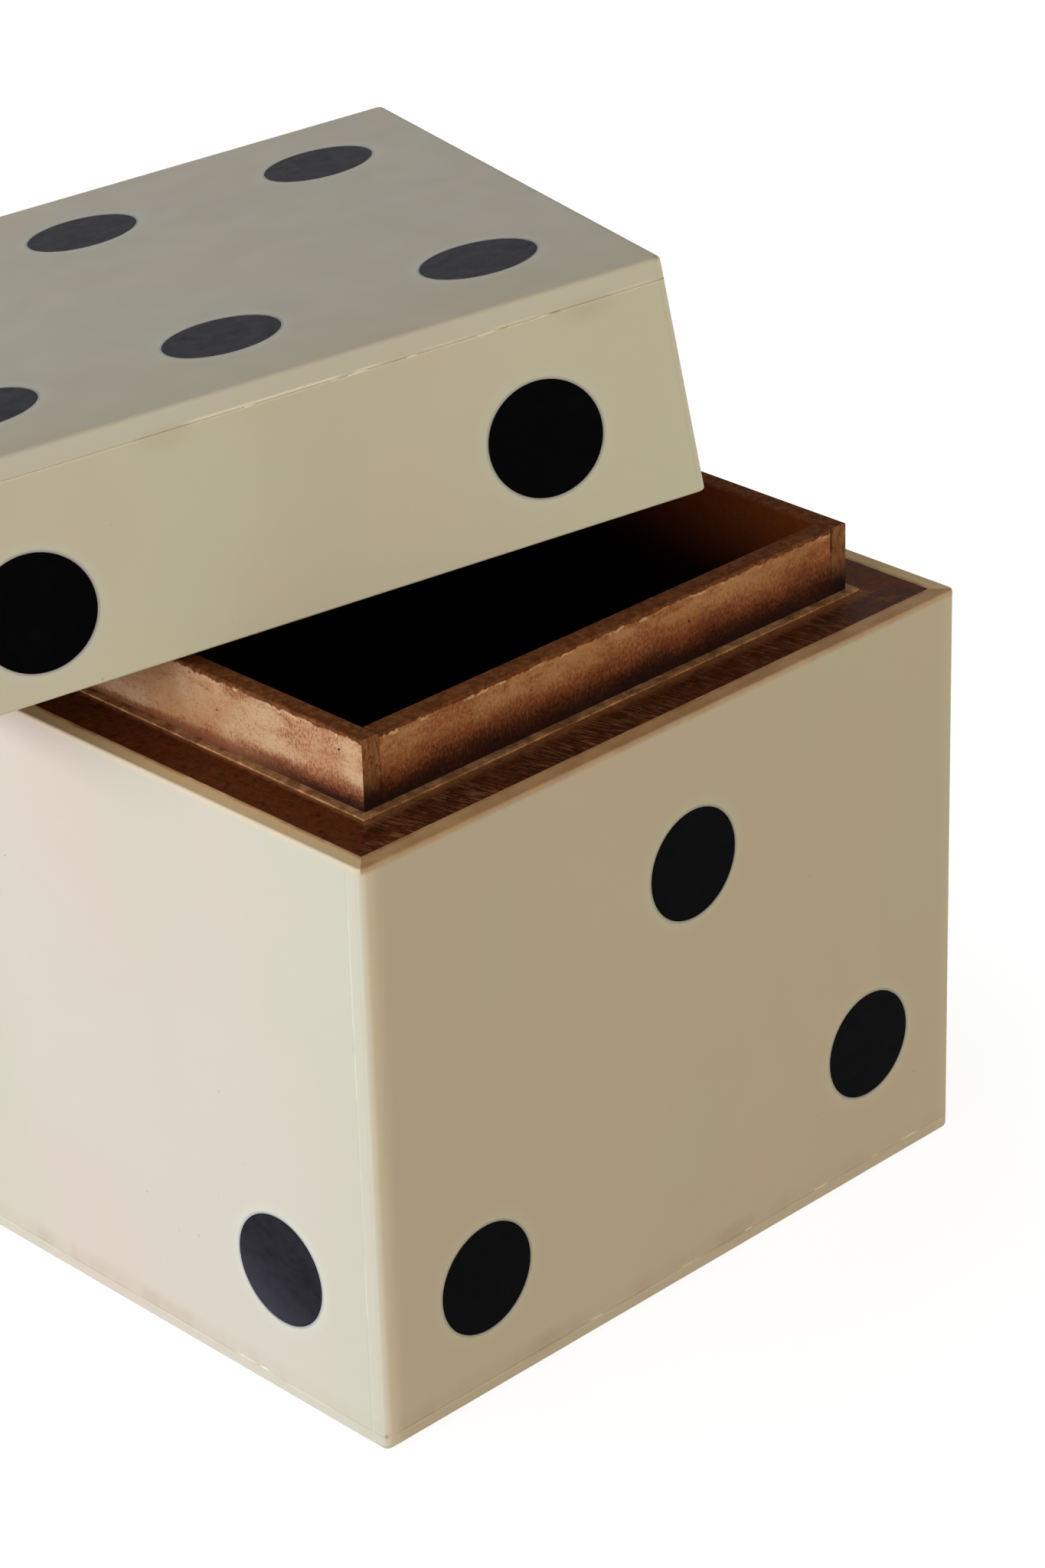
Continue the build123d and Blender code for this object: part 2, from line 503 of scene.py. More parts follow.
@dataclass(frozen=True)
class ResinFinish:
    """Cream cast resin, sanded by hand: clouded, tanned on its cut edges, with glued seams.

    The seam lies between the plate and the side panels. The cut edge is where the halves part.
    """

    name: str
    place: Place
    look: ResinLook
    half_side: float
    inner_side: float
    cut_edge: float
    cut_sign: float
    seam: float
    pips: tuple[Vector, ...]
    pip_radius: float

    leafy: Colour = tone(216, 215, 197)
    topside: Colour = tone(222, 211, 193)
    handled: Colour = tone(217, 203, 175)
    # The edge colour is a painted highlight for the front's upright corners.
    edge: Colour = tone(255, 248, 230)
    sheen: Colour = tone(246, 250, 250)
    honey: Colour = tone(250, 222, 174)
    tan: Colour = tone(206, 164, 116)
    burnt: Colour = tone(176, 128, 84)
    glue: Colour = tone(252, 248, 232)
    stain: Colour = tone(180, 152, 112)
    halo: Colour = tone(222, 228, 214)
    fringe: Colour = tone(108, 104, 144)

    clouds: Lumps = Lumps(60, 2, 0.5, 0.5)
    patches: Lumps = Lumps(38, scale=(1, 1, 0.4))
    specks: Lumps = Lumps(1.3, 1)
    wander: Lumps = Lumps(14, 3, 0.6, scale=(1, 1, 0.2))
    dried: Lumps = Lumps(19, 2, 0.6, scale=(1, 1, 0.2))
    lit: Lumps = Lumps(13, scale=(0.1, 0.1, 1))
    ragged: Lumps = Lumps(3.5, 4)
    blotch: Lumps = Lumps(16, 4, 0.6, scale=(1, 1.6, 1))
    beads: Lumps = Lumps(7, 3, 0.7)
    sanding: Lumps = Lumps(7, 4, 0.6)
    swell: Lumps = Lumps(21, 1)
    pores: Lumps = Lumps(0.55, 3, 0.7)

    leafy_reach: float = 26.0
    rosy_reach: float = 50.0
    handled_reach: float = 40.0
    fresh_span: tuple[float, float] = (44.0, 14.0)
    cloud_drop: float = 0.9
    streak_drop: float = 0.36
    corner_inset: float = 0.3
    front_left: Triple = (-0.85, -0.53, 0.0)

    def clouded(self, graph: Graph) -> None:
        """The cream with its faint pink and green clouds and a few specks.

        Args:
            graph: the material's nodes.
        """
        graph.colour = graph.mix(graph.noise(self.clouds).ramp(0.4, 0.66), self.look.cream, self.look.rosy)
        graph.layer(graph.noise(self.patches).ramp(0.45, 0.7, 0, 0.7), self.leafy)
        graph.layer(graph.noise(self.specks).ramp(0.79, 0.83, 0, 0.45), self.stain)

    def on_front(self, graph: Graph) -> Field:
        """1 on the front face."""
        return graph.coordinates[1].ramp(-self.half_side + 0.5, -self.half_side + 0.1)

    def toned(self, graph: Graph) -> None:
        """Shades the sides and the front near their corners, the plate's edge and its flat.

        Args:
            graph: the material's nodes.
        """
        x, y, z = graph.coordinates
        half, look = self.half_side, self.look
        leafy = abs(x).ramp(half - 1.3, half - 0.5) * y.ramp(-half, -half + self.leafy_reach, 0.8, 0)
        graph.layer(leafy, self.leafy)
        on_front = self.on_front(graph)
        rosy = on_front * x.ramp(-half, -half + self.rosy_reach, look.rosy_share, 0)
        graph.layer(rosy, look.rosy)
        start, end = self.fresh_span
        graph.layer(on_front * x.ramp(half - start, half - end, 0, look.fresh_share), look.cream)
        beyond = (z - self.seam) * -self.cut_sign
        graph.layer(beyond.ramp(-0.6, 0.6, 0, 0.6 * look.seam_depth), look.plate)
        handled = y.ramp(-half, -half + self.handled_reach, 1, 0)
        graph.layer(beyond.ramp(3.0, 3.5, 0, 0.6), graph.mix(handled, self.topside, self.handled))

    def placed(self, graph: Graph, spans: Sequence[Span], elsewhere: Field, soft: float = 1.5) -> Field:
        """A share that has its own spans along the front and another rule on the other sides.

        Args:
            graph: the material's nodes.
            spans: the spans; with none, the other rule holds in front too.
            elsewhere: the share on the other sides.
            soft: how far each span fades at its ends.

        Returns:
            The share.
        """
        if not spans:
            return elsewhere
        x, on_front = graph.coordinates[0], self.on_front(graph)
        drawn = graph.most(*(
            x.ramp(span.start - soft, span.start + soft, 0, span.share)
            * x.ramp(span.end - soft, span.end + soft, 1, 0)
            for span in spans
        ))
        return elsewhere * (1.0 - on_front) + drawn * on_front

    def seamed(self, graph: Graph) -> Field:
        """Adds the plate's seam: its smudges, painted light over its groove's shade, its stained stretches
        and its glue streaks, which are partly a painted highlight.

        Args:
            graph: the material's nodes.

        Returns:
            How deep the seam is cut, from 0 to 1.
        """
        look = self.look
        above = graph.coordinates[2] - self.seam
        gap = abs(above)
        wander = graph.noise(self.wander)
        smudged = wander.ramp(0.42, 0.68, 0.05, look.cloud_share)
        smudged = self.placed(graph, look.smudge_spans, smudged, soft=3.5)
        cloud = abs(above + self.cut_sign * -self.cloud_drop).ramp(0.2, 2.6, 1, 0) * smudged
        graph.layer(cloud, self.stain)
        # Painted light: the seam's groove on the front is lightened with the glue's colour, cancelling the
        # shade that falls in it.
        painted_groove_light = self.on_front(graph) * look.painted_groove_light_share * gap.ramp(0.08, 0.24, 1, 0)
        graph.layer(painted_groove_light, self.glue)
        darkened = self.placed(graph, look.stain_spans, wander.ramp(0.46, 0.6, 0.12, 0.8))
        dark = gap.ramp(0.05, 0.3, 0.8, 0) * darkened * look.seam_depth
        graph.layer(dark, self.stain)
        # Glue-coloured streaks beside the seam on the plate side: dried glue, partly a painted highlight
        # along the plate's eased edge.
        bright = self.placed(graph, look.glue_spans, graph.noise(self.dried).ramp(0.48, 0.54))
        beside = abs(above + self.cut_sign * self.streak_drop).ramp(0.08, 0.32, 1, 0)
        graph.layer(beside * bright * look.streak_share, self.glue)
        return dark

    def cornered(self, graph: Graph) -> Field:
        """Adds the upright joints, a nick in a corner, a painted highlight along the front's upright
        corners and a painted sheen on the lid's right rounded edge.

        Args:
            graph: the material's nodes.

        Returns:
            1 on the joints.
        """
        x, y, _ = graph.coordinates
        half, across = self.half_side, abs(x)
        corner = -half + self.corner_inset
        nick = graph.distance(Vector((corner, corner, self.seam))).ramp(0.2, 0.6, 0.8, 0)
        graph.layer(nick, self.stain)
        joint = abs(y).band(self.inner_side, 0.04, 0.26) * across.ramp(half - 0.2, half - 0.05)
        graph.layer(joint * graph.noise(self.lit).ramp(0.5, 0.58, 0.08, 0.4), self.glue)
        # Painted highlight: front and back faces lighter towards their upright corners, most at the left,
        # and the front-left rounding lighter still.
        frontal = abs(y).ramp(half - 0.5, half - 0.1)
        rim = across.ramp(half - 5.5, half - 1.0) ** 2.2 * frontal * x.ramp(-1, 1, 1, 0.3)
        graph.layer(rim * self.look.corner_highlight_share, self.edge)
        painted_turn_highlight = graph.facing(Vector(self.front_left)).ramp(0.93, 0.995, 0, 0.4 * self.look.corner_highlight_share)
        graph.layer(painted_turn_highlight, self.edge)
        # Painted sheen: the lid's right rounded edge is lightened where it turns away from the lamps.
        right_corner = self.place.axes @ Vector((math.sqrt(0.5), -math.sqrt(0.5), 0.0))
        painted_edge_sheen = graph.facing(right_corner).ramp(0.76, 0.96, 0, self.look.sheen_share)
        graph.layer(painted_edge_sheen, self.sheen)
        return joint

    def tanned(self, graph: Graph) -> None:
        """Browns the sawn edge where the two halves part, most where it meets the carcase.

        Args:
            graph: the material's nodes.
        """
        x, y, z = graph.coordinates
        width = self.half_side - self.inner_side
        to_edge = (z - self.cut_edge) * self.cut_sign
        outward = graph.most(abs(x), abs(y))
        across = outward + (graph.noise(self.ragged) - 0.5) * 0.6 - self.inner_side
        blotch = graph.noise(self.blotch).ramp(0.4, 0.64)
        frontal = abs(y) > abs(x)
        light = (across + blotch * -0.2).ramp(-0.2, 0.8) * frontal.ramp(0, 1, 1, 0.2)
        brown = graph.mix(light, graph.mix(blotch, self.tan, self.burnt), self.honey)
        start = frontal.ramp(0, 1, width * 0.5, width * self.look.tan_reach)
        fade = frontal.ramp(0, 1, width * 1.3, width * (self.look.tan_reach + 0.35))
        share = across.ramp(start, fade, 1, 0) * to_edge.ramp(-width * 0.4, -width * 0.12)
        graph.layer(share, brown)
        hairline = outward.band(self.inner_side + 0.14, 0.03, 0.16)
        hairline = hairline * graph.noise(self.beads).ramp(0.54, 0.62, 0, 0.5)
        graph.layer(hairline * abs(to_edge).ramp(0.02, 0.08, 1, 0), self.glue)

    def make(self) -> Material:
        """The resin's material.

        Returns:
            The material.
        """
        graph = Graph(self.name, self.place)
        self.clouded(graph)
        self.toned(graph)
        cut = graph.most(self.seamed(graph), self.cornered(graph) * 0.4)
        self.tanned(graph)
        nearest = graph.least(*(graph.distance(pip) for pip in self.pips))
        radius = self.pip_radius
        graph.layer(nearest.ramp(radius - 0.6, radius + 2.8, 0.7, 0), self.halo)
        graph.layer(nearest.ramp(radius - 0.1, radius + 0.6, 0.6, 0), self.fringe)
        rough = graph.noise(self.sanding).ramp(0.3, 0.7, 0.5, 0.6)
        swell = graph.bump(graph.noise(self.swell), 0.8, 0.2)
        dip = graph.bump(1.0 - cut, 0.14, 0.8, swell)
        normal = graph.bump(graph.noise(self.pores), 0.03, 0.3, dip)
        return graph.finish(rough, normal, Specular_IOR_Level=0.12)


@dataclass(frozen=True)
class PipFinish:
    """Black resin let into the cream, rubbed down flush with it, with a painted reflection that greys the
    pips on the lid's top and a painted sheen and highlight on the left.
    """

    name: str
    place: Place
    black: Colour = tone(1, 1, 2)
    dusty: Colour = tone(13, 12, 17)
    scuffed: Colour = tone(44, 43, 51)
    settled: Colour = tone(53, 52, 57)
    painted_low_highlight: Colour = tone(70, 69, 80)
    bloom: Lumps = Lumps(6, 4, 0.65)
    specks: Lumps = Lumps(0.4, 2, 0.6)
    rubs: Lumps = Lumps(4, 4, 0.7, scale=(1, 1, 2))
    polish: Lumps = Lumps(2.4, 4, 0.6)
    pores: Lumps = Lumps(0.5)
    painted_highlight_span: tuple[float, float] = (29.0, 44.0)

    def make(self) -> Material:
        """The pips' material.

        Returns:
            The material.
        """
        graph = Graph(self.name, self.place)
        _, y, z = graph.coordinates
        graph.colour = graph.mix(graph.noise(self.bloom).ramp(0.45, 0.8, 0, 0.4), self.black, self.dusty)
        graph.layer(graph.noise(self.specks).ramp(0.74, 0.8, 0, 0.5), self.dusty)
        # Painted sheen: pips on left-facing faces are lightened in noisy patches, standing in for the left
        # lamp's reflection; the same patches vary the painted reflection on top.
        leftward = graph.facing(Vector((-1, 0, 0))).ramp(0.8, 0.95)
        rubs = graph.noise(self.rubs).ramp(0.3, 0.6, 0.5, 0.9)
        graph.layer(leftward * rubs, self.scuffed)
        # Painted highlight: left-facing pips lighter towards their lower part.
        low = (z - y * 0.5).ramp(*self.painted_highlight_span, 0.8, 0)
        graph.layer(leftward * low, self.painted_low_highlight)
        # Painted reflection: pips on upward faces are lightened to grey in patches.
        lying = graph.facing(Vector((0, 0, 1))).ramp(0.8, 0.95)
        graph.layer(lying * rubs.ramp(0.5, 0.9, 0.75, 1), self.settled)
        rough = graph.noise(self.polish).ramp(0.3, 0.7, 0.44, 0.54)
        normal = graph.bump(graph.noise(self.pores), 0.02, 0.25)
        return graph.finish(rough, normal, Specular_IOR_Level=0.02)


@dataclass(frozen=True)
class StainFinish:
    """Dark brown stain brushed over the carcase, with fine slanting scratches."""

    name: str
    place: Place
    inner_side: float
    pitch: Colour = tone(26, 9, 3)
    dark: Colour = tone(60, 23, 6)
    warm: Colour = tone(86, 40, 16)
    mellow: Colour = tone(102, 50, 22)
    scratch: Colour = tone(172, 126, 86)
    dusted: Colour = tone(146, 98, 62)
    grain: Lumps = Lumps(4, 5, 0.7, scale=(1, 1, 0.2))
    scratches: Lumps = Lumps(1.1, 2, 0.6, scale=(4.5, 0.3, 1), turn=(0, 0, -16))
    worn: Lumps = Lumps(16, 3)
    crumbs: Lumps = Lumps(1.1, 3, 0.7)
    stipple: Lumps = Lumps(1.6, 6, 0.85)

    def make(self) -> Material:
        """The stained carcase's material.

        Returns:
            The material.
        """
        graph = Graph(self.name, self.place)
        x, y, _ = graph.coordinates
        grain = graph.noise(self.grain)
        graph.colour = graph.mix(grain.ramp(0.4, 0.72), self.dark, self.warm)
        frontal = abs(y) > abs(x)
        graph.layer(frontal.ramp(0, 1, 0.65, 0), self.mellow)
        fine = graph.noise(self.scratches)
        worn = graph.noise(self.worn).ramp(0.4, 0.62, 0.4, 1) * frontal.ramp(0, 1, 0.2, 1)
        graph.layer(fine.ramp(0.5, 0.63) * worn * 0.55, self.scratch)
        inward = graph.most(abs(x), abs(y)) - self.inner_side
        dust_reach = frontal.ramp(0, 1, 1.6, 3.2)
        dust = (inward + graph.noise(self.crumbs)).ramp(0.6, dust_reach, 0.95, 0)
        graph.layer(dust, self.dusted)
        stipple = graph.noise(self.stipple)
        graph.layer(stipple.ramp(0.36, 0.5, 0.7, 0), self.pitch)
        graph.layer(stipple.ramp(0.54, 0.68, 0, 0.5), self.dusted)
        normal = graph.bump(fine, 0.06, 0.6, graph.bump(grain, 0.12, 0.4))
        return graph.finish(fine.ramp(0.3, 0.8, 0.5, 0.7), normal, Specular_IOR_Level=0.05)


@dataclass(frozen=True)
class LeafFinish:
    """Copper leaf rubbed on thin boards: worn to the red ground, dark at the foot and on top.

    Sizes are the lip's half side, its boards' thickness, and the heights of the rim and the lip's top.
    """

    name: str
    place: Place
    outer: float
    board: float
    rim: float
    top: float

    leaf: Colour = tone(211, 174, 136)
    rubbed: Colour = tone(194, 144, 100)
    ground: Colour = tone(132, 70, 42)
    rust: Colour = tone(160, 88, 56)
    umber: Colour = tone(92, 44, 22)
    foot: Colour = tone(30, 11, 9)
    bare: Colour = tone(92, 48, 22)
    fibre: Colour = tone(136, 84, 48)
    sawn: Colour = tone(156, 110, 74)
    chip: Colour = tone(236, 202, 160)
    well_rim: Colour = tone(120, 58, 22)
    well: Colour = tone(16, 5, 3)

    cloud: Lumps = Lumps(15, 4, 0.6)
    scuffs: Lumps = Lumps(0.8, 4, 0.75, scale=(1, 1, 2.2), turn=(24, 18, 0))
    speckle: Lumps = Lumps(0.36, 4, 0.8, scale=(1, 1, 0.6))
    patch: Lumps = Lumps(6, 4, 0.65, scale=(0.55, 0.55, 1.5))
    streaks: Lumps = Lumps(0.45, 4, 0.8, scale=(1, 1, 0.7))
    drift: Lumps = Lumps(8, 3, 0.6, scale=(0.5, 0.5, 1))
    mottle: Lumps = Lumps(1.3, 5, 0.75)
    flecks: Lumps = Lumps(0.6, 3, 0.6)
    chips: Lumps = Lumps(2.2, 5, 0.75)
    curls: Lumps = Lumps(4.5, 3, 0.7)
    fibres: Lumps = Lumps(2.2, 5, 0.7, scale=(3, 3, 0.3))
    crumbs: Lumps = Lumps(0.7, 4, 0.75, scale=(1, 1, 0.5))
    gaps: Lumps = Lumps(3.0)
    crackle: Lumps = Lumps(1.5, 5, 0.7, 0.6)
    pores: Lumps = Lumps(0.4, 3)

    rusty_inset: float = 8.0
    well_fade: float = 17.0
    chip_depth: float = 0.85

    def leafed(self, graph: Graph, height: Field, frontal: Field) -> None:
        """The leaf: rubbed patches, specks of the ground and rust by the near corner.

        Args:
            graph: the material's nodes.
            height: how far each point is above the rim.
            frontal: 1 on the front and back boards.
        """
        y = graph.coordinates[1]
        graph.colour = graph.mix(graph.noise(self.cloud).ramp(0.38, 0.66), self.leaf, self.rubbed)
        graph.layer(frontal * 0.85, self.rubbed)
        graph.layer(graph.noise(self.scuffs).ramp(0.5, 0.72, 0, 0.5), self.ground)
        speckle, patch = graph.noise(self.speckle), graph.noise(self.patch)
        near_top = (self.top - self.rim - height).ramp(0.5, 5.0, 0.16, 0)
        worn = (patch + near_top).ramp(0.58, 0.84) * speckle.ramp(0.38, 0.6, 0.25, 0.9)
        graph.layer(worn, self.ground)
        graph.layer(speckle.ramp(0.6, 0.72, 0, 0.55), self.ground)
        by_corner = abs(y + (self.outer - self.rusty_inset)).ramp(2.0, 9.0, 0.19, 0)
        by_corner = graph.most(by_corner, frontal * 0.05)
        rusty = (patch + by_corner).ramp(0.5, 0.66) * speckle.ramp(0.44, 0.58, 0.1, 0.85)
        graph.layer(rusty, self.rust)

    def footed(self, graph: Graph, height: Field, frontal: Field) -> None:
        """Darkens the leaf's foot with a ragged edge, higher in front than along the sides.

        Args:
            graph: the material's nodes.
            height: how far each point is above the rim.
            frontal: 1 on the front and back boards.
        """
        y = graph.coordinates[1]
        jitter = graph.noise(self.streaks) * -5.4 + graph.noise(self.drift) * -3.4
        reach = graph.most(y.ramp(-self.outer, 0.0, 0.8, 0.3), frontal * 1.62)
        near = graph.most(y.ramp(-self.outer, -self.outer * 0.3, 1, 0.2), frontal)
        level = height / reach + (jitter + 4.4)
        graph.layer(level.ramp(3.2, 6.0, 0.8, 0), self.ground)
        graph.layer(level.ramp(1.8, 4.4, 0.9, 0) * near, self.umber)
        graph.layer(level.ramp(0.6, 3.2, 0.97, 0) * near, self.foot)

    def topped(self, graph: Graph, below_top: Field, mottle: Field, up: Field) -> None:
        """Bares the boards' tops, with a chipped edge where the leaf ends and lifts.

        Args:
            graph: the material's nodes.
            below_top: how far each point is below the boards' tops.
            mottle: the bare wood's mottling.
            up: 1 on the tops.
        """
        bare = graph.mix(mottle.ramp(0.36, 0.68), self.bare, self.fibre)
        bare = graph.mix(graph.noise(self.flecks).ramp(0.62, 0.74, 0, 0.6), bare, self.umber)
        edge = below_top + (graph.noise(self.chips) - 0.5) * 2.0
        lifted = edge.band(self.chip_depth, 0.05, 0.4) * graph.noise(self.curls).ramp(0.54, 0.62, 0, 0.7)
        graph.layer(lifted, self.chip)
        graph.layer(edge.ramp(0.55, 0.75, 1, 0), bare)
        graph.layer(up, bare)

    def ended(self, graph: Graph, height: Field, frontal: Field) -> None:
        """Shows the side boards' end grain on the front, and the dark joint beside it.

        Args:
            graph: the material's nodes.
            height: how far each point is above the rim.
            frontal: 1 on the front and back boards.
        """
        across, joint_line = abs(graph.coordinates[0]), self.outer - self.board
        fibres, crumbs = graph.noise(self.fibres), graph.noise(self.crumbs)
        end_grain = graph.mix(fibres.ramp(0.36, 0.6), self.fibre, self.sawn)
        end_grain = graph.mix(crumbs.ramp(0.36, 0.5, 0.9, 0), end_grain, self.umber)
        end_grain = graph.mix(crumbs.ramp(0.6, 0.72, 0, 0.7), end_grain, self.chip)
        end_grain = graph.mix((height + fibres * -4.0).ramp(-0.5, 5.0, 1, 0), end_grain, self.foot)
        at_ends = frontal * across.ramp(joint_line - 0.1, joint_line + 0.1)
        graph.layer(at_ends, end_grain)
        joint = across.band(joint_line, 0.08, 0.34) * frontal
        graph.layer(joint * graph.noise(self.gaps).ramp(0.4, 0.6, 0.25, 0.9), self.foot)

    def make(self) -> Material:
        """The liner's material.

        Returns:
            The material.
        """
        graph = Graph(self.name, self.place)
        x, y, z = graph.coordinates
        facing_up = graph.facing(Vector((0, 0, 1)))
        up = facing_up.ramp(0.45, 0.75)
        frontal = abs(graph.facing(Vector((0, 1, 0)))).ramp(0.7, 0.9)
        height = z - self.rim
        below_top = self.top - z
        mottle = graph.noise(self.mottle)
        self.leafed(graph, height, frontal)
        self.footed(graph, height, frontal)
        self.topped(graph, below_top, mottle, up)
        self.ended(graph, height, frontal)
        lining = graph.mix(mottle.ramp(0.4, 0.7, 0, 0.5), self.well_rim, self.bare)
        lining = graph.mix(below_top.ramp(0.0, self.well_fade), lining, self.well)
        inside = graph.most(abs(x), abs(y)) < self.outer - self.board + 0.6
        graph.layer(inside * facing_up.ramp(0.45, 0.75, 1, 0), lining)
        rough = graph.most(mottle.ramp(0.35, 0.65, 0.45, 0.62), facing_up.ramp(0.45, 0.75, 0.4, 0.85))
        relief = graph.bump(graph.noise(self.crackle), 0.16, 0.6)
        normal = graph.bump(graph.noise(self.pores), 0.05, 0.5, relief)
        return graph.finish(rough, normal, Metallic=0.05, Specular_IOR_Level=0.08)


@dataclass(frozen=True)
class WoodFinish:
    """Plain wood with its grain, smudged with stain where it lies beside the carcase."""

    name: str
    place: Place
    early: Colour
    late: Colour
    grain: Lumps
    smudged: float = 0.0
    smudge: Colour = tone(74, 38, 18)
    smears: Lumps = Lumps(3.0, 6, 0.85)

    def make(self) -> Material:
        """The wood's material.

        Returns:
            The material.
        """
        graph = Graph(self.name, self.place)
        x, y, _ = graph.coordinates
        fibres = graph.noise(self.grain)
        graph.colour = graph.mix(fibres.ramp(0.35, 0.65), self.early, self.late)
        share = graph.noise(self.smears).ramp(0.36, 0.66, 0, self.smudged)
        graph.layer(share * (abs(y) > abs(x)).ramp(0, 1, 0.7, 1), self.smudge)
        normal = graph.bump(fibres, 0.15, 0.5)
        return graph.finish(fibres.ramp(0.3, 0.7, 0.5, 0.7), normal, Specular_IOR_Level=0.12)


@dataclass(frozen=True)
class GlueFinish:
    """Clear yellow glue, dried glossy where it stands out of a seam."""

    name: str
    place: Place
    clear: Colour = tone(250, 246, 226)
    amber: Colour = tone(214, 196, 158)
    body: Lumps = Lumps(8, 3)
    skin: Lumps = Lumps(1.2)

    def make(self) -> Material:
        """The glue's material.

        Returns:
            The material.
        """
        graph = Graph(self.name, self.place)
        graph.colour = graph.mix(graph.noise(self.body).ramp(0.42, 0.6), self.clear, self.amber)
        rough = graph.noise(self.skin).ramp(0.3, 0.7, 0.22, 0.36)
        return graph.finish(rough, Specular_IOR_Level=0.5)


# --- geometry nodes -------------------------------------------------------------------
class NodeTree(Nodes):
    """A Geometry Nodes tree with named inputs, which ends in Realize Instances and Set Material."""

    def __init__(self, name: str, **inputs: str) -> None:
        """Starts a tree.

        Args:
            name: the tree's name.
            inputs: the kind of each named input, apart from Geometry and Material, which all have.
        """
        super().__init__(bpy.data.node_groups.new(name, "GeometryNodeTree"))
        sockets = self.tree.interface
        sockets.new_socket("Geometry", in_out="INPUT", socket_type="NodeSocketGeometry")
        self.identifiers = {
            key: sockets.new_socket(key, in_out="INPUT", socket_type="NodeSocket" + kind).identifier
            for key, kind in {**inputs, "Material": "Material"}.items()
        }
        sockets.new_socket("Geometry", in_out="OUTPUT", socket_type="NodeSocketGeometry")
        self.source = self.tree.nodes.new("NodeGroupInput")

    def read(self, name: str) -> Field:
        """A named input inside the tree."""
        return Field(self, self.source.outputs[name])

    def random(self, low: object, high: object, seed: object, kind: str = "FLOAT") -> Socket:
        """A random value for each point, with a fixed seed.

        Args:
            low, high: its limits.
            seed: the seed.
            kind: FLOAT or FLOAT_VECTOR.

        Returns:
            The value's socket.
        """
        first, output = (2, 1) if kind == "FLOAT" else (0, 0)
        limits = {first: low, first + 1: high, "Seed": seed}
        return self.make("FunctionNodeRandomValue", limits, data_type=kind).outputs[output]

    def scatter(self, inputs: Inputs) -> "NodeTree":
        """Ends the tree: an instance on each point, made real and given the Material input.

        Args:
            inputs: those of the node that places the instances.

        Returns:
            The tree.
        """
        placed = self.make("GeometryNodeInstanceOnPoints", inputs)
        real = self.make("GeometryNodeRealizeInstances", {"Geometry": placed.outputs[0]})
        worn = {"Geometry": real.outputs[0], "Material": self.read("Material")}
        dressed = self.make("GeometryNodeSetMaterial", worn)
        self.put(self.tree.nodes.new("NodeGroupOutput").inputs[0], dressed.outputs[0])
        return self

    def grow(self, name: str, seeds: Mesh, values: dict[str, object]) -> Object:
        """Runs the tree over a mesh and keeps the result as a plain mesh object.

        Args:
            name: the new object's name.
            seeds: the mesh that the tree works on.
            values: the named inputs.

        Returns:
            The finished object, with no modifier.
        """
        carrier = link_object(name + "_seeds", seeds)
        modifier = carrier.modifiers.new("grow", "NODES")
        modifier.node_group = self.tree
        for key, value in values.items():
            modifier[self.identifiers[key]] = value
        carrier.update_tag()
        graph = bpy.context.evaluated_depsgraph_get()
        mesh = bpy.data.meshes.new_from_object(carrier.evaluated_get(graph))
        bpy.data.objects.remove(carrier)
        mesh.name = name
        return link_object(name, mesh)


def link_object(name: str, mesh: Mesh) -> Object:
    """A mesh's object at the origin, in the scene.

    Args:
        name: the object's name.
        mesh: its mesh.

    Returns:
        The object.
    """
    made = bpy.data.objects.new(name, mesh)
    bpy.context.scene.collection.objects.link(made)
    return made


def mesh_of(name: str, points: Iterable[Vector], edges: Iterable[tuple[int, int]] = (),
            faces: Iterable[Sequence[int]] = ()) -> Mesh:
    """A mesh from its points, edges and faces.

    Args:
        name: its name.
        points: its vertices, in metres.
        edges: pairs of vertices.
        faces: rings of vertices.

    Returns:
        The mesh.
    """
    mesh = bpy.data.meshes.new(name)
    mesh.from_pydata([tuple(point) for point in points], list(edges), list(faces))
    return mesh


def pip_tree() -> NodeTree:
    """Discs with an eased rim, one on each point, all looking the same way.

    Returns:
        The tree.
    """
    tree = NodeTree("pip_discs", Outward="Vector", Radius="Float", Depth="Float", Ease="Float", Sides="Int")
    radius, ease, sides = tree.read("Radius"), tree.read("Ease"), tree.read("Sides")
    straight = tree.read("Depth") - ease
    size = {"Vertices": sides, "Radius": radius, "Depth": straight}
    barrel = tree.make("GeometryNodeMeshCylinder", size, fill_type="NGON")
    brim = tree.make(
        "GeometryNodeMeshCone",
        {"Vertices": sides, "Radius Top": radius - ease, "Radius Bottom": radius, "Depth": ease},
        fill_type="NGON",
    )
    disc = tree.make("GeometryNodeJoinGeometry", {})
    for shape, height in ((brim, straight), (barrel, straight * 0.5)):
        lift = tree.make("ShaderNodeCombineXYZ", {"Z": height})
        move = {"Geometry": shape.outputs["Mesh"], "Translation": lift.outputs[0]}
        tree.put(disc.inputs[0], tree.make("GeometryNodeTransform", move).outputs[0])
    aim = tree.make("FunctionNodeAlignRotationToVector", {"Vector": tree.read("Outward")}, axis="Z")
    return tree.scatter(
        {"Points": tree.read("Geometry"), "Instance": disc.outputs[0], "Rotation": aim.outputs[0]}
    )


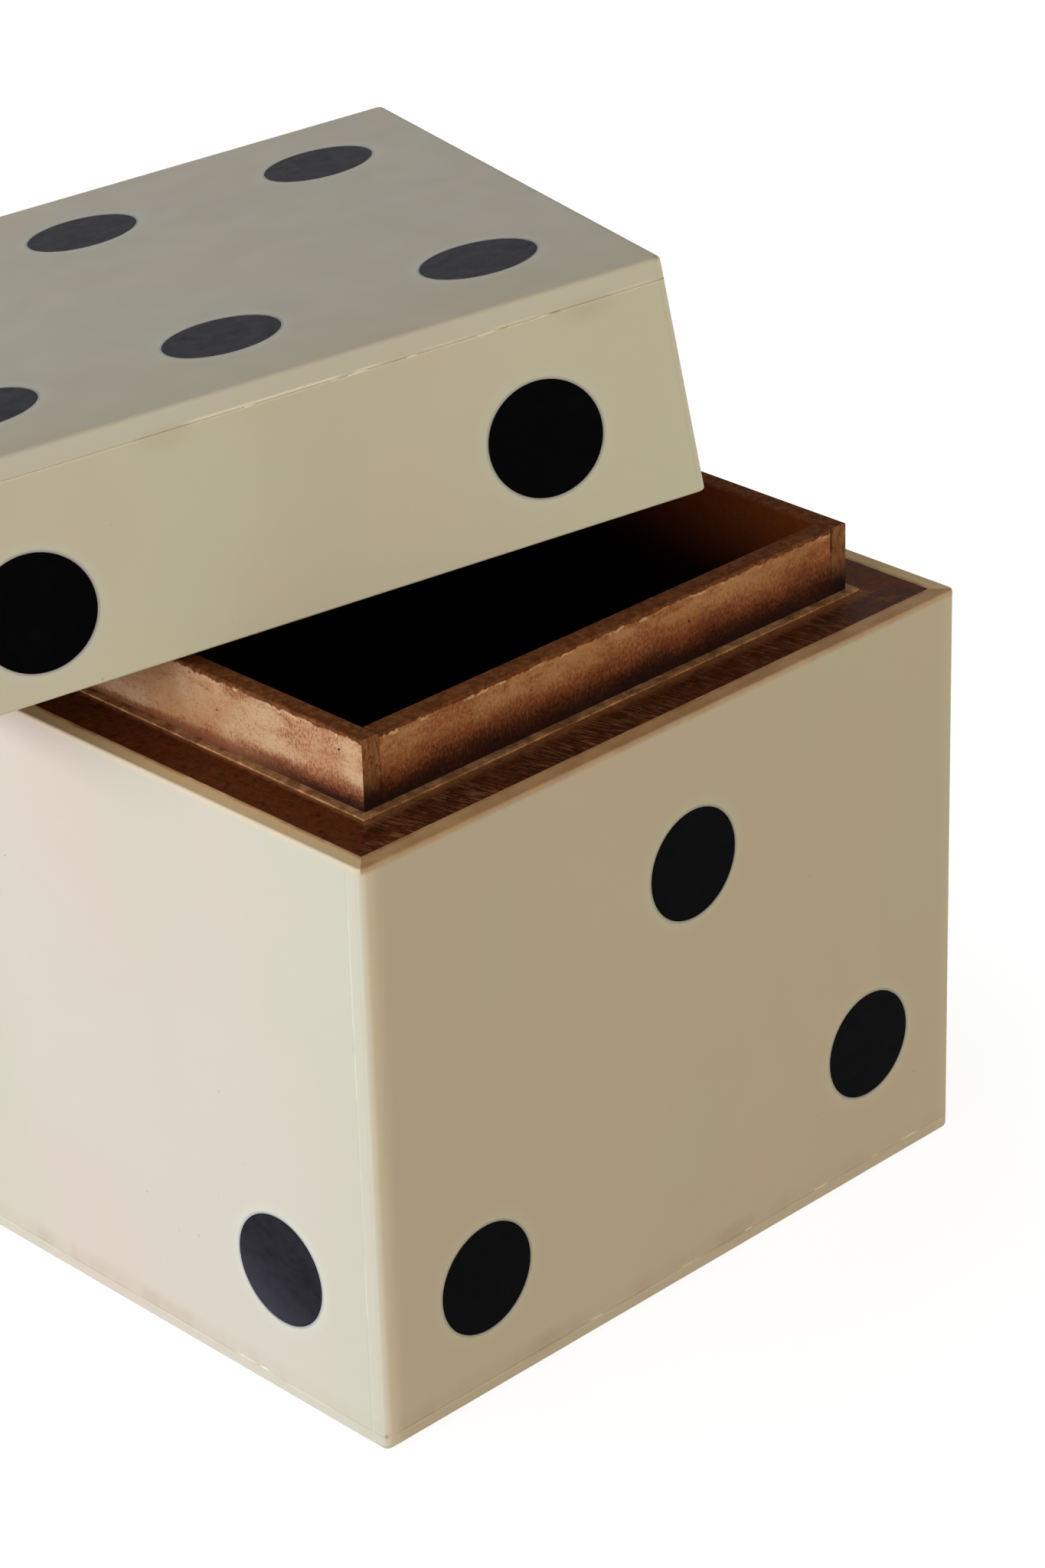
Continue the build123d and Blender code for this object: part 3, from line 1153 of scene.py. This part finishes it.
def glue_tree() -> NodeTree:
    """Slim drops of dried glue strung along a seam, with gaps between them.

    Returns:
        The tree.
    """
    tree = NodeTree(
        "glue_drops",
        Pitch="Float", Thickness="Float", Shortest="Float", Longest="Float", Share="Float", Seed="Int",
    )
    thickness, seed = tree.read("Thickness"), tree.read("Seed")
    path = tree.make("GeometryNodeMeshToCurve", {"Mesh": tree.read("Geometry")})
    points = tree.make(
        "GeometryNodeCurveToPoints", {"Curve": path.outputs[0], "Length": tree.read("Pitch")}, mode="LENGTH"
    )
    drop = tree.make("GeometryNodeMeshIcoSphere", {"Radius": 1.0, "Subdivisions": 2})
    length = tree.random(tree.read("Shortest"), tree.read("Longest"), seed)
    size = tree.make("ShaderNodeCombineXYZ", {"X": length, "Y": thickness, "Z": thickness})
    aim = tree.make("FunctionNodeAlignRotationToVector", {"Vector": points.outputs["Tangent"]}, axis="X")
    chance = {"Probability": tree.read("Share"), "Seed": seed}
    kept = tree.make("FunctionNodeRandomValue", chance, data_type="BOOLEAN")
    return tree.scatter(
        {
            "Points": points.outputs["Points"],
            "Selection": kept.outputs[3],
            "Instance": drop.outputs["Mesh"],
            "Rotation": aim.outputs[0],
            "Scale": size.outputs[0],
        }
    )


def flake_tree() -> NodeTree:
    """Thin ragged flakes scattered over a surface and turned about its normal.

    Returns:
        The tree.
    """
    tree = NodeTree("leaf_flakes", Density="Float", Size="Float", Thickness="Float", Seed="Int")
    area = {"Mesh": tree.read("Geometry"), "Density": tree.read("Density"), "Seed": tree.read("Seed")}
    points = tree.make("GeometryNodeDistributePointsOnFaces", area)
    flake = tree.make(
        "GeometryNodeMeshCylinder",
        {"Vertices": 6, "Radius": tree.read("Size"), "Depth": tree.read("Thickness")},
        fill_type="NGON",
    )
    spin = tree.make("ShaderNodeCombineXYZ", {"Z": tree.random(0.0, 2 * math.pi, 3)})
    turned = tree.make(
        "FunctionNodeRotateRotation",
        {"Rotation": points.outputs["Rotation"], "Rotate By": spin.outputs[0]},
        rotation_space="LOCAL",
    )
    smallest, largest = (0.25, 0.15, 1.0), (1.5, 0.8, 1.0)
    return tree.scatter(
        {
            "Points": points.outputs["Points"],
            "Instance": flake.outputs["Mesh"],
            "Rotation": turned.outputs[0],
            "Scale": tree.random(smallest, largest, 5, "FLOAT_VECTOR"),
        }
    )


# --- sub-assemblies -------------------------------------------------------------------
@dataclass
class BoxSizes:
    """Sizes of the box, read from the frame, in millimetres."""

    half_side: float
    rim: float
    base_plate: float
    lid_plate: float
    cladding_inner: float
    carcase_inner: float
    lip_outer: float
    liner_board: float
    lip_top: float

    @classmethod
    def read(cls, lid: Place) -> "BoxSizes":
        """Reads them from the nodes' boxes.

        Args:
            lid: the lid's place.

        Returns:
            The sizes.
        """
        plate_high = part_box("base_bottom_panel")[1]
        side_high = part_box("base_left_panel")[1]
        wall_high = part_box("base_left_wall")[1]
        liner_low, liner_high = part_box("liner_left")
        return cls(
            half_side=plate_high.x / MM,
            rim=side_high.z / MM,
            base_plate=plate_high.z / MM,
            lid_plate=lid.extent("lid_top_panel")[0].z / MM,
            cladding_inner=-side_high.x / MM,
            carcase_inner=-wall_high.x / MM,
            lip_outer=-liner_low.x / MM,
            liner_board=(liner_high.x - liner_low.x) / MM,
            lip_top=liner_high.z / MM,
        )


@dataclass
class PipSet:
    """All the pips of one half, let into its faces."""

    half: Half
    place: Place
    tree: NodeTree
    material: Material
    ease: float = 0.12
    sides: int = 96
    groups: dict[str, tuple[list[Vector], Vector, float, float]] = field(default_factory=dict)

    @staticmethod
    def discs(node: str) -> list[list[Vector]]:
        """The points of each separate disc in a node.

        Args:
            node: name of a CAD node.

        Returns:
            Each disc's points, in metres.
        """
        shape = bmesh.new()
        shape.from_mesh(frame["nodes"][node].data)
        bmesh.ops.remove_doubles(shape, verts=shape.verts, dist=1e-6)
        waiting = dict.fromkeys(shape.verts)
        found = []
        while waiting:
            reached = [waiting.popitem()[0]]
            for vertex in reached:
                for edge in vertex.link_edges:
                    other = edge.other_vert(vertex)
                    if other in waiting:
                        del waiting[other]
                        reached.append(other)
            found.append([vertex.co.copy() for vertex in reached])
        shape.free()
        return sorted(found, key=lambda points: tuple(round(value, 5) for value in points[0]))

    def measure(self, node: str, outward: Vector) -> None:
        """Reads one face's discs: their feet, radius and depth.

        Args:
            node: the face's node of pips.
            outward: the face's outward direction in the half's own axes.
        """
        feet = []
        radius = depth = 0.0
        for points in self.discs(node):
            local = [self.place.to_local(point) for point in points]
            middle = sum(local, Vector()) / len(local)
            reach = [(point - middle).dot(outward) for point in local]
            depth = max(reach) - min(reach)
            radius = max(
                ((point - middle) - outward * (point - middle).dot(outward)).length for point in local
            )
            feet.append(middle + outward * min(reach))
        self.groups[node] = (feet, outward, radius, depth)

    def read(self) -> None:
        """Reads every face of the half that has pips."""
        for side in Side:
            self.measure(f"{self.half.value}_{side.word}_pips", side.outward)
        if self.half is Half.LID:
            self.measure("lid_top_pips", Vector((0, 0, 1)))

    def faces(self) -> tuple[Vector, ...]:
        """The middle of each pip's outer face in the half's own axes, in millimetres."""
        groups = self.groups.values()
        return tuple((foot + outward * depth) / MM for feet, outward, _, depth in groups for foot in feet)

    def radius(self) -> float:
        """The pips' radius in millimetres."""
        return max(group[2] for group in self.groups.values()) / MM

    def build(self) -> None:
        """Makes one piece for each face and puts it in the place of its node."""
        for node, (feet, outward, radius, depth) in self.groups.items():
            seeds = mesh_of(node + "_feet", [self.place.to_world(foot) for foot in feet])
            piece = self.tree.grow(
                node.replace("pips", "inlaid_pips"), seeds,
                {
                    "Outward": self.place.axes @ outward,
                    "Radius": radius,
                    "Depth": depth,
                    "Ease": self.ease * MM,
                    "Sides": self.sides,
                    "Material": self.material,
                },
            )
            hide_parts(node)
            hand_over(piece, self.half)


def coat(pattern: str, material: Material) -> None:
    """Puts one material on the CAD nodes whose names fit a pattern, in place of any other.

    Args:
        pattern: the names, with a star for any letters.
        material: the material.
    """
    for name in fnmatch.filter(frame["nodes"], pattern):
        materials = frame["nodes"][name].data.materials
        materials.clear()
        materials.append(material)


def hand_over(piece: Object, half: Half) -> None:
    """Rides a piece on its half.

    Args:
        piece: the finished object.
        half: the half that carries it.
    """
    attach(piece, half.value)
    LOG.info("%s on %s, %d faces", piece.name, half.value, len(piece.data.polygons))


@dataclass(frozen=True)
class GlueRun:
    """Which share of a seam is beaded with glue, its seed, and how far the front's left end is dry."""

    share: float
    seed: int
    dry_start: float = 0.0


GLUE_RUNS = {Half.BASE: GlueRun(0.2, 12), Half.LID: GlueRun(0.5, 7, 46.0)}


@dataclass
class Cladding:
    """The resin panels of one half and the dried glue in their seams."""

    half: Half
    place: Place
    sizes: BoxSizes
    finish: ResinFinish
    tree: NodeTree
    glue: Material
    drop_thickness: float = 0.16
    pitch: float = 4.1
    shortest: float = 0.9
    longest: float = 3.6
    corner_gap: float = 5.5
    proud: float = 0.02
    dry_end: float = 0.3

    def dress(self) -> None:
        """Gives the half's CAD panels their finish."""
        coat(f"{self.half.value}_*_panel", self.finish.make())

    def seam_loop(self) -> Mesh:
        """The seam between the plate and the side panels, round all four sides.

        Returns:
            Its lines, one on each side.
        """
        reach = (self.sizes.half_side - self.corner_gap) * MM
        level = self.finish.seam * MM
        outer = (self.sizes.half_side + self.proud) * MM
        corners = []
        edges = []
        for side in Side:
            along = Vector((-side.outward.y, side.outward.x, 0))
            dry = GLUE_RUNS[self.half].dry_start * MM if side is Side.FRONT else 0.0
            for end in (-reach + dry, reach - dry * self.dry_end):
                local = side.outward * (outer - self.drop_thickness * 0.5 * MM) + along * end
                corners.append(self.place.to_world(local + Vector((0, 0, level))))
            edges.append((len(corners) - 2, len(corners) - 1))
        return mesh_of("seam_loop", corners, edges)

    def glue_seam(self) -> None:
        """Strings drops of glue along the seam."""
        run = GLUE_RUNS[self.half]
        piece = self.tree.grow(
            f"{self.half.value}_seam_glue", self.seam_loop(),
            {
                "Pitch": self.pitch * MM,
                "Thickness": self.drop_thickness * MM,
                "Shortest": self.shortest * MM,
                "Longest": self.longest * MM,
                "Share": run.share,
                "Seed": run.seed,
                "Material": self.glue,
            },
        )
        for polygon in piece.data.polygons:
            polygon.use_smooth = True
        hand_over(piece, self.half)


@dataclass
class Liner:
    """The leafed boards whose tops form the lip, their flakes, and the packing at their foot."""

    place: Place
    sizes: BoxSizes
    tree: NodeTree
    flake_size: float = 0.42
    flake_thickness: float = 0.05
    flake_margin: float = 0.9
    flakes_per_square_metre: float = 260000.0

    def dress(self) -> Material:
        """Gives the liner, the packing and the well's floor their finishes.

        Returns:
            The leaf's material.
        """
        sizes = self.sizes
        leaf = LeafFinish(
            "copper_leaf", self.place, sizes.lip_outer, sizes.liner_board, sizes.rim, sizes.lip_top
        ).make()
        grain = Lumps(2.2, 5, 0.65, 0.3, (0.7, 0.7, 1))
        packing = WoodFinish(
            "bare_packing", self.place, tone(222, 172, 124), tone(160, 110, 72), grain, smudged=0.7
        ).make()
        grain = replace(grain, scale=(0.2, 1, 1))
        well = WoodFinish("dark_well_board", self.place, tone(34, 20, 14), tone(22, 12, 8), grain).make()
        for pattern, material in (("liner_*", leaf), ("liner_floor", well), ("packing_*", packing)):
            coat(pattern, material)
        return leaf

    def lip_faces(self) -> Mesh:
        """The lip's four outer faces, a hair outside the boards.

        Returns:
            The four faces.
        """
        outer = (self.sizes.lip_outer + self.flake_thickness * 0.3) * MM
        reach = (self.sizes.lip_outer - self.flake_size * 2) * MM
        low = (self.sizes.rim + self.flake_margin) * MM
        high = (self.sizes.lip_top - self.flake_margin) * MM
        points = []
        faces = []
        for side in Side:
            along = Vector((-side.outward.y, side.outward.x, 0))
            start = len(points)
            for end, level in ((-1, low), (1, low), (1, high), (-1, high)):
                points.append(side.outward * outer + along * reach * end + Vector((0, 0, level)))
            faces.append(tuple(range(start, start + 4)))
        return mesh_of("lip_faces", points, faces=faces)

    def scatter_flakes(self, leaf: Material) -> None:
        """Scatters lifted flakes of leaf over the lip.

        Args:
            leaf: the leaf's material.
        """
        piece = self.tree.grow(
            "lip_leaf_flakes", self.lip_faces(),
            {
                "Density": self.flakes_per_square_metre,
                "Size": self.flake_size * MM,
                "Thickness": self.flake_thickness * MM,
                "Seed": 4,
                "Material": leaf,
            },
        )
        hand_over(piece, Half.BASE)


@dataclass
class Carcase:
    """The stained boards of both halves."""

    places: dict[Half, Place]
    sizes: BoxSizes

    def dress(self) -> None:
        """Gives walls and boards their stain."""
        for half, place in self.places.items():
            material = StainFinish(f"{half.value}_brown_stain", place, self.sizes.carcase_inner).make()
            for pattern in (f"{half.value}_*_wall", f"{half.value}_floor", f"{half.value}_top_board"):
                coat(pattern, material)


# --- studio ---------------------------------------------------------------------------
@dataclass(frozen=True)
class Lamp:
    """A soft area lamp: where it stands, what it looks at, its width, height, power and colour."""

    name: str
    spot: Triple
    aim: Triple
    width: float
    height: float
    power: float
    colour: Triple = (1.0, 1.0, 1.0)

    def hang(self) -> None:
        """Puts the lamp in the scene."""
        data = bpy.data.lights.new(self.name, "AREA")
        data.shape = "RECTANGLE"
        data.size = self.width
        data.size_y = self.height
        data.energy = self.power
        data.color = self.colour
        lamp = bpy.data.objects.new(self.name, data)
        lamp.location = self.spot
        lamp.rotation_euler = (Vector(self.aim) - Vector(self.spot)).to_track_quat("-Z", "Y").to_euler()
        bpy.context.scene.collection.objects.link(lamp)


@dataclass(frozen=True)
class Studio:
    """Camera, lamps, a pale floor and a white surround."""

    eye: Triple = (-0.44101, -0.48890, 0.39910)
    target: Triple = (0.0114, -0.0193, 0.0935)
    roll: float = -1.71
    lens: float = 107.97
    rise: float = -0.0996
    floor_size: float = 8.0
    floor_gap: float = 0.0002
    floor_colour: Colour = (0.55, 0.54, 0.52, 1)
    lamps: tuple[Lamp, ...] = (
        Lamp("left_softbox", (-1.35, 0.27, 0.40), (0.0, 0.0, 0.07), 1.9, 0.8, 20.2, (0.985, 0.985, 1.0)),
        Lamp("front_fill", (0.30, -1.60, 0.34), (0.0, 0.0, 0.06), 1.3, 1.1, 10.85, (1.0, 0.80, 0.45)),
        Lamp("right_fill", (1.70, -0.35, 0.26), (0.0, 0.0, 0.06), 1.3, 0.9, 6.0, (1.0, 0.97, 0.92)),
        Lamp("back_fill", (-0.25, 1.70, 0.26), (0.0, 0.0, 0.06), 1.3, 0.9, 6.0, (1.0, 0.98, 0.95)),
    )
    surround: float = 0.085
    surround_colour: Colour = (1.0, 0.985, 0.96, 1)
    paper_glow: float = 0.90
    paper_grey: float = 0.25
    paper_far_grey: float = 0.04
    paper_reach: tuple[float, float] = (0.08, 0.13)

    def set_camera(self) -> None:
        """Stands the camera at the viewing angle."""
        data = bpy.data.cameras.new("camera")
        data.lens = self.lens
        data.sensor_width = 36.0
        data.shift_y = self.rise
        data.clip_start = 0.01
        camera = bpy.data.objects.new("camera", data)
        look = (Vector(self.target) - Vector(self.eye)).to_track_quat("-Z", "Y").to_matrix()
        turn = Matrix.Rotation(math.radians(self.roll), 3, "Z")
        camera.matrix_world = Matrix.Translation(self.eye) @ (look @ turn).to_4x4()
        bpy.context.scene.collection.objects.link(camera)
        bpy.context.scene.camera = camera

    def lay_floor(self) -> None:
        """A pale floor that keeps the shadow close to the box and fades to white beyond it."""
        half = self.floor_size / 2
        ends = ((-half, -half), (half, -half), (half, half), (-half, half))
        corners = [Vector((x, y, -self.floor_gap)) for x, y in ends]
        floor = link_object("studio_floor", mesh_of("studio_floor", corners, faces=[(0, 1, 2, 3)]))
        graph = Graph("white_floor")
        graph.colour = self.floor_colour
        graph.finish(0.9, Specular_IOR_Level=0.0)
        far = graph.distance(Vector((0, 0, 0)), graph.make("ShaderNodeTexCoord", {}).outputs["Object"])
        grey = far.ramp(*self.paper_reach, self.paper_grey, self.paper_far_grey)
        shaded = graph.mix(grey, (0, 0, 0, 1), (1, 1, 1, 1))
        shadowed = graph.make("ShaderNodeBsdfDiffuse", {"Color": shaded})
        glow = far.ramp(*self.paper_reach, self.paper_glow, 1.0)
        white = graph.make("ShaderNodeEmission", {"Color": (1, 1, 1, 1), "Strength": glow})
        paper = graph.make("ShaderNodeAddShader", {0: shadowed.outputs[0], 1: white.outputs[0]})
        mixed = {0: graph.seen(), 1: graph.shader.outputs[0], 2: paper.outputs[0]}
        mixer = graph.make("ShaderNodeMixShader", mixed)
        graph.put(graph.tree.nodes["Material Output"].inputs[0], mixer.outputs[0])
        floor.data.materials.append(graph.material)

    def set_surround(self) -> None:
        """A dim even light from all round, which looks white where it is seen."""
        world = bpy.data.worlds.new("surround")
        bpy.context.scene.world = world
        world.use_nodes = True
        sky = Nodes(world.node_tree)
        dim = sky.tree.nodes["Background"]
        dim.inputs["Color"].default_value = self.surround_colour
        dim.inputs["Strength"].default_value = self.surround
        white = sky.make("ShaderNodeBackground", {"Color": (1, 1, 1, 1)})
        mixer = sky.make("ShaderNodeMixShader", {0: sky.seen(), 1: dim.outputs[0], 2: white.outputs[0]})
        sky.put(sky.tree.nodes["World Output"].inputs[0], mixer.outputs[0])

    def build(self) -> None:
        """Sets up the whole studio."""
        self.set_camera()
        self.lay_floor()
        self.set_surround()
        for lamp in self.lamps:
            lamp.hang()
        bpy.context.scene.view_settings.view_transform = "Standard"


def resin_for(half: Half, place: Place, sizes: BoxSizes, pips: PipSet) -> ResinFinish:
    """The resin of one half.

    Args:
        half: base or lid.
        place: the half's axes.
        sizes: the box's sizes.
        pips: the half's pips, whose rims stain the resin.

    Returns:
        The finish, ready to be made.
    """
    on_base = half is Half.BASE
    return ResinFinish(
        name=f"{half.value}_cream_resin",
        place=place,
        look=BASE_LOOK if on_base else LID_LOOK,
        half_side=sizes.half_side,
        inner_side=sizes.cladding_inner,
        cut_edge=sizes.rim if on_base else 0.0,
        cut_sign=1.0 if on_base else -1.0,
        seam=sizes.base_plate if on_base else sizes.lid_plate,
        pips=pips.faces(),
        pip_radius=pips.radius(),
    )


def main() -> None:
    """Dresses the box and sets it in the studio."""
    logging.basicConfig(level=logging.INFO, format="%(name)s: %(message)s")
    Studio().build()
    places = {Half.BASE: base_place(), Half.LID: lid_place()}
    sizes = BoxSizes.read(places[Half.LID])
    pips_made, glue_made = pip_tree(), glue_tree()
    for half, place in places.items():
        black = PipFinish(f"{half.value}_black_resin", place).make()
        glue = GlueFinish(f"{half.value}_dried_glue", place).make()
        pips = PipSet(half, place, pips_made, black)
        pips.read()
        cladding = Cladding(half, place, sizes, resin_for(half, place, sizes, pips), glue_made, glue)
        cladding.dress()
        cladding.glue_seam()
        pips.build()
    Carcase(places, sizes).dress()
    liner = Liner(places[Half.BASE], sizes, flake_tree())
    liner.scatter_flakes(liner.dress())


if __name__ == "__main__":
    main()
